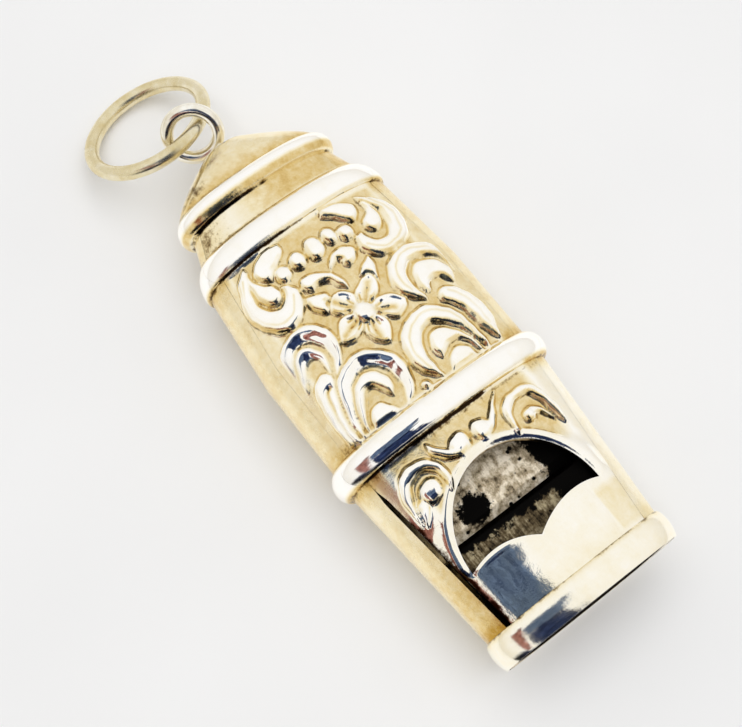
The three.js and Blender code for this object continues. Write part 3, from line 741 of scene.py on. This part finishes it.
front_shell = sheet_from_grid("front_shell_struck", base[::fine, ::fine])
front_shell.data.materials.append(struck_silver)
front_shell.data.materials.append(black_oxide_and_shade_inside)
apply_modifier(front_shell, "SOLIDIFY", thickness=sheet_thickness * mm, offset=-1, material_offset=1,
               material_offset_rim=1)
bpy.ops.object.mode_set(mode="EDIT")
bpy.ops.mesh.select_mode(type="FACE")
bpy.ops.mesh.select_all(action="DESELECT")
front_shell.active_material_index = 0
bpy.ops.object.material_slot_select()
bpy.ops.mesh.subdivide(number_cuts=fine - 1)
bpy.ops.object.mode_set(mode="OBJECT")
mesh = front_shell.data
outside = np.repeat(read(mesh.polygons, "material_index", kind=np.int32) == 0,
                    read(mesh.polygons, "loop_total", kind=np.int32))
picked = read(mesh.loops, "vertex_index", kind=np.int32)[outside]
corner_place = read(mesh.uv_layers[0].uv, "vector", 2)[outside]
row = np.rint(corner_place[:, 1] * (len(base) - 1)).astype(int)
column = np.rint(corner_place[:, 0] * front_columns).astype(int)
places = read(mesh.vertices, "co", 3)
places[picked] = struck[row, column] * mm
mesh.vertices.foreach_set("co", places.ravel())
wear_and_shade = np.zeros((3, len(mesh.vertices)), np.float32)
for i, values in enumerate((front_yellow, front_dirty, front_satin)):
    wear_and_shade[i, picked] = values.reshape(grid)[row, column]
set_wear_and_shade(mesh, yellow=wear_and_shade[0], dirty=wear_and_shade[1], satin=wear_and_shade[2])
mesh.update()
edit_whole(bpy.ops.mesh.remove_doubles, threshold=0.002 * mm)

# The sound window is pierced through the sheet by a punch of its outline
punch_line, punch_length = window_edge(40), 6
bpy.ops.mesh.primitive_circle_add(vertices=len(punch_line), radius=1, fill_type="NGON")
punch = bpy.context.object
lay(punch, np.column_stack([punch_line, np.full(len(punch_line), axis_height + 0.2)]))
edit_whole(bpy.ops.mesh.extrude_region_move, TRANSFORM_OT_translate={"value": (0, 0, punch_length * mm)})
edit_whole(bpy.ops.mesh.normals_make_consistent, inside=False)
apply_modifier(front_shell, "BOOLEAN", operation="DIFFERENCE", object=punch, solver="EXACT")
bpy.data.objects.remove(punch)
front_shell.select_set(True)
places = read(mesh.vertices, "co", 3) / mm
half, front, back = barrel_at(places[:, 0])
across = np.clip(np.abs(places[:, 1]) / half, 0, 1)
sheet_top = axis_height + front * (1 - across ** oval_power) ** (1 / oval_power)
found = near(window_line, places[:, :2], 0.1)
found = found[places[found, 2] < sheet_top[found] - 0.3]
cut_edge = found[np.abs(depth_inside(punch_line, places[found, :2])) < 0.03]
# The window's cut edge is painted yellow and dark: painted shade on the sheet's edge inside the window
for name, value in (("yellow", 1.0), ("dirty", 0.75), ("satin", 0.6)):
    edge_values = read(mesh.attributes[name].data, "value")
    edge_values[cut_edge] = value
    mesh.attributes[name].data.foreach_set("value", edge_values)
bpy.ops.object.shade_smooth_by_angle(angle=math.radians(55))
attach(front_shell, "whistle")
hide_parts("front_shell")


# Mouth rim
# A rounded band drawn over the open end of both shells and soldered, with a flat end at the mouth.
# It is rubbed bright outside by the lips and by the table.
rim_proud, rim_round = 0.42, 0.8 * math.pi
rim_segments, rim_profile, rim_under = 176, 28, 8
rim_start = math.asin(solder_gap / rim_proud)
over = np.linspace(rim_start, rim_round, rim_profile - rim_under)
over_x = rim_x + (mouth_x - rim_x) * (1 - np.cos(over)) / (1 - math.cos(rim_round))
profile_x = np.concatenate([over_x, np.linspace(mouth_x, over_x[0], rim_under + 1)[:-1]])
rim_rest = axis_height + rest_flat - station_back[-1]
profile_proud, profile_back = [np.concatenate([proud * np.sin(over), np.full(rim_under, solder_gap)])
                               for proud in (rim_proud, rim_rest)]
bpy.ops.mesh.primitive_torus_add(major_segments=rim_segments, minor_segments=rim_profile)
mouth_rim = bpy.context.object
mouth_rim.name = "mouth_rim_band"
around = np.linspace(0, 2 * math.pi, rim_segments, endpoint=False)[:, None]
half, front, back = barrel_at(profile_x)
lift, wide = oval_turn(around)
rim_y = (half + profile_proud) * wide
rim_z = axis_height + lift * np.where(lift > 0, front + profile_proud, back + profile_back)
lay(mouth_rim, np.stack([np.broadcast_to(profile_x, rim_y.shape), rim_y, np.maximum(rim_z, 0)], axis=2))
edit_whole(bpy.ops.mesh.normals_make_consistent, inside=False)
bpy.ops.object.shade_smooth_by_angle(angle=math.radians(50))
# The rim's foot is yellowed by tarnish and darkened by dirt and painted shade in the crease
rim_foot = np.broadcast_to(np.exp(-((profile_x - rim_x) / 0.25) ** 2), rim_y.shape).ravel()
rim_satin = np.full(rim_y.size, 0.35)
set_wear_and_shade(mouth_rim.data, yellow=0.22 + 0.3 * rim_foot, dirty=0.5 * rim_foot, satin=rim_satin)
mouth_rim.data.materials.append(struck_silver)
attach(mouth_rim, "whistle")
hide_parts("mouth_rim")


# Bail seat
# A drop of silver solder on the dome's top that the bail stands in. It was melted there and not filed,
# so it runs out thin on the dome and climbs the wire a little.
seat_y, seat_z = -0.367, 3.893
seat_radius, seat_flattened, seat_sunk = 0.9, 0.42, 0.15
bpy.ops.mesh.primitive_uv_sphere_add(segments=48, ring_count=24, radius=seat_radius * mm,
                                     location=(dome_x * mm, seat_y * mm, seat_z * mm),
                                     scale=(seat_flattened, 1, 1))
bail_seat = bpy.context.object
bail_seat.name = "bail_seat_solder"
bpy.ops.object.transform_apply(location=True, rotation=True, scale=True)
edit_whole(bpy.ops.mesh.bisect, plane_co=((dome_x + seat_sunk) * mm, 0, 0), plane_no=(1, 0, 0), use_fill=True,
           clear_outer=True)
bpy.ops.object.shade_smooth_by_angle(angle=math.radians(50))


def drawn_wire(name, stops, dullest, brightest):
    """Drawn silver wire, worn smooth: faintly yellow, with a fine grain and duller patches, and with its
    roughness where it is dullest and where it is brightest."""
    material, tree = new_material(name)
    here = add_node(tree, "ShaderNodeTexCoord"), "Object"
    cloud = noise(tree, here, 1.613, 5, 0.6)
    grain = noise(tree, here, 0.2083, 3, 0.6)
    finish_with(tree, {"Base Color": tinted(tree, cloud, stops), "Metallic": 1.0,
                       "Roughness": rescale(tree, cloud, 0.3, 0.7, dullest, brightest),
                       "Normal": embossed(tree, grain, 0.05, 0.04)})
    return material


bright_wire = drawn_wire("bright_drawn_silver_wire",
                         [(0.3, "#DDD2B8"), (0.5, "#F0EADA"), (0.72, "#FAF8F0")], 0.22, 0.13)
bail_seat.data.materials.append(bright_wire)
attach(bail_seat, "whistle")
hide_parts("bail_seat")


# Bail and jump ring
# Two rings of round drawn wire. The bail stands fixed on the dome, and the larger jump ring hangs loose
# through it, its joint closed and soldered.
def wire_ring(name, radius, wire, centre, normal, segments, finish):
    """A ring of round wire at its centre, square to its normal; radius and wire are those of the ring's middle
    line and of the wire."""
    turned = Vector(normal).to_track_quat("Z", "Y").to_euler()
    bpy.ops.mesh.primitive_torus_add(major_segments=segments, minor_segments=28, major_radius=radius * mm,
                                     minor_radius=wire * mm, location=Vector(centre) * mm, rotation=turned)
    ring = bpy.context.object
    ring.name = name
    bpy.ops.object.transform_apply(location=True, rotation=True, scale=True)
    bpy.ops.object.shade_smooth()
    ring.data.materials.append(finish)
    return ring


bail_centre, bail_normal = (-28.0137, -1.1073, 4.9456), (0.6863, -0.4184, 0.595)
bail_ring = wire_ring("bail_wire_ring", 1.875, 0.5, bail_centre, bail_normal, 96, bright_wire)
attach(bail_ring, "whistle")
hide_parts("bail_ring")
straw_wire = drawn_wire("straw_tarnished_silver_wire",
                        [(0.3, "#D3C08D"), (0.5, "#E1D5B0"), (0.72, "#EDE5CF")], 0.32, 0.21)
jump_centre, jump_normal = (-31.6667, -3.0815, 2.9372), (-0.4751, -0.1179, 0.872)
jump_ring = wire_ring("jump_wire_ring", 4.745, 0.555, jump_centre, jump_normal, 176, straw_wire)
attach(jump_ring, "chain_ring")
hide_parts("jump_ring")


# Studio
# A white table in a light tent. Bright silver only shows its form by what it mirrors: the white tent, and
# the photographer's navy clothes and hand behind the camera. Three mottled cards and a dark part of the
# tent stand for those.
bpy.ops.mesh.primitive_plane_add(size=4.0, location=(0, 0, -0.01 * mm))
floor = bpy.context.object
floor.name = "white_table"
floor_material, tree = new_material("matt_white_table")
here = add_node(tree, "ShaderNodeTexCoord"), "Object"
tone = tinted(tree, noise(tree, here, 25, 2), [(0.3, "#F3F3F3"), (0.7, "#F7F7F7")])
rays = add_node(tree, "ShaderNodeLightPath")
# The table glows faintly for glossy rays only: a painted reflection that brightens the table the silver mirrors
glow_in_reflections = reckon(tree, "MULTIPLY", (rays, "Is Glossy Ray"), 0.15)
finish_with(tree, {"Base Color": tone, "Roughness": 0.8, "Emission Color": linear("#FFFFFF"),
                   "Emission Strength": glow_in_reflections})
floor.data.materials.append(floor_material)


def mirror_card(name, corners, dark, pale, patch):
    """A mottled card with ragged edges that only the polished metal sees; patch is its mottles' size in mm."""
    bpy.ops.mesh.primitive_plane_add(size=1)
    card = bpy.context.object
    card.name = name
    lay(card, np.array(corners, float))
    material, tree = new_material(name + "_cloth")
    place = add_node(tree, "ShaderNodeTexCoord")
    mottle = noise(tree, (place, "Object"), patch, 4, 0.6)
    parts = add_node(tree, "ShaderNodeSeparateXYZ", {}, {"Vector": (place, "UV")})
    from_middle = [reckon(tree, "ABSOLUTE", reckon(tree, "SUBTRACT", (parts, side), 0.5))
                   for side in ("X", "Y")]
    torn = reckon(tree, "MULTIPLY_ADD", mottle, 0.3, reckon(tree, "MAXIMUM", *from_middle))
    kept = rescale(tree, torn, 0.58, 0.62, 1, 0)
    tone = tinted(tree, mottle, [(0.35, dark), (0.65, pale)])
    glow = add_node(tree, "ShaderNodeEmission", {}, {"Color": tone, "Strength": 1.0})
    clear = add_node(tree, "ShaderNodeBsdfTransparent")
    seen = add_node(tree, "ShaderNodeMixShader", {}, {0: kept, 1: (clear, "BSDF"), 2: (glow, "Emission")})
    add_node(tree, "ShaderNodeOutputMaterial", {}, {"Surface": (seen, "Shader")})
    card.data.materials.append(material)
    card.visible_camera = False
    card.visible_shadow = False
    card.visible_diffuse = False


mirror_card("navy_sleeve", [(-7, -64, 90), (27, -64, 90), (-7, 9, 90), (27, 3, 90)], "#0E1838", "#7388A8", 5)
mirror_card("navy_coat", [(16, -64, 91), (150, -70, 91), (16, -4, 91), (150, 34, 91)], "#080D22", "#34436B", 8)
mirror_card("rosy_hand", [(-33, -120, 88), (124, -112, 88), (-28, -54, 88), (124, -84, 88)],
            "#5A2F2C", "#C08679", 12)

# White all round, but for the dark clothes low down behind the camera
world = bpy.data.worlds.new("light_tent")
bpy.context.scene.world = world
world.use_nodes = True
tree = world.node_tree
tree.nodes.clear()
facing = add_node(tree, "ShaderNodeTexCoord"), "Generated"
upward = add_node(tree, "ShaderNodeSeparateXYZ", {}, {"Vector": facing}), "Z"
backward = add_node(tree, "ShaderNodeVectorMath", {"operation": "DOT_PRODUCT"}, {
    0: facing, 1: (0.883, -0.469, 0)}), "Value"
ragged = add_node(tree, "ShaderNodeTexNoise", {}, {"Vector": facing, "Scale": 5.0, "Detail": 4}), "Fac"
behind_camera, low = [
    rescale(tree, reckon(tree, "MULTIPLY_ADD", ragged, 0.2, way), *edge, interpolation_type="SMOOTHSTEP")
    for way, edge in ((backward, (0.82, 0.93, 0, 1)), (upward, (0.54, 0.64, 1, 0)))]
tent = tinted(tree, upward, [(0.0, "#EDEAE4"), (0.2, "#F4F2EE"), (0.5, "#FCFBFA"), (1.0, "#FFFFFF")])
clothes = tinted(tree, upward, [(0.1, "#0B0B0E"), (0.32, "#141A2C"), (0.5, "#2A3554")])
surroundings = mixed(tree, reckon(tree, "MULTIPLY", behind_camera, low), tent, clothes)
rays = add_node(tree, "ShaderNodeLightPath")
glow = rescale(tree, (rays, "Is Glossy Ray"), 0, 1, 0.62, 1)
light = add_node(tree, "ShaderNodeBackground", {}, {"Color": surroundings, "Strength": glow})
seen = add_node(tree, "ShaderNodeBackground", {}, {"Color": linear("#F5F5F4"), "Strength": 1.0})
shown = add_node(tree, "ShaderNodeMixShader", {}, {
    0: (rays, "Is Camera Ray"), 1: (light, "Background"), 2: (seen, "Background")})
add_node(tree, "ShaderNodeOutputWorld", {}, {"Surface": (shown, "Shader")})

lamp_data = bpy.data.lights.new("tent_top_lamp", "AREA")
lamp_data.shape = "SQUARE"
lamp_data.size = 0.6
lamp_data.energy = 1.45
lamp = bpy.data.objects.new("tent_top_lamp", lamp_data)
bpy.context.scene.collection.objects.link(lamp)
lamp.location = (0.0, 0.03, 0.5)
lamp.visible_glossy = False
lamp.rotation_mode = "QUATERNION"
lamp.rotation_quaternion = (Vector((0, 0, 0)) - lamp.location).to_track_quat("-Z", "Y")

# Camera
# A close view from the mouth's side, at the photograph's angle.
camera_data = bpy.data.cameras.new("photo_camera")
camera_data.lens = 62.63
camera_data.sensor_width = 36.0
camera_data.clip_start = 0.001
camera_data.clip_end = 10.0
camera = bpy.data.objects.new("photo_camera", camera_data)
bpy.context.scene.collection.objects.link(camera)
right = Vector((0.60662, 0.79496, 0.00701))
up = Vector((-0.74724, 0.56716, 0.34637))
behind = Vector((0.27137, -0.21535, 0.93807))
turned = Matrix((right, up, behind)).transposed().to_4x4()
camera.matrix_world = Matrix.Translation(Vector((18.385, -20.735, 88.36)) * mm) @ turned
bpy.context.scene.camera = camera
bpy.context.scene.view_settings.view_transform = "Standard"
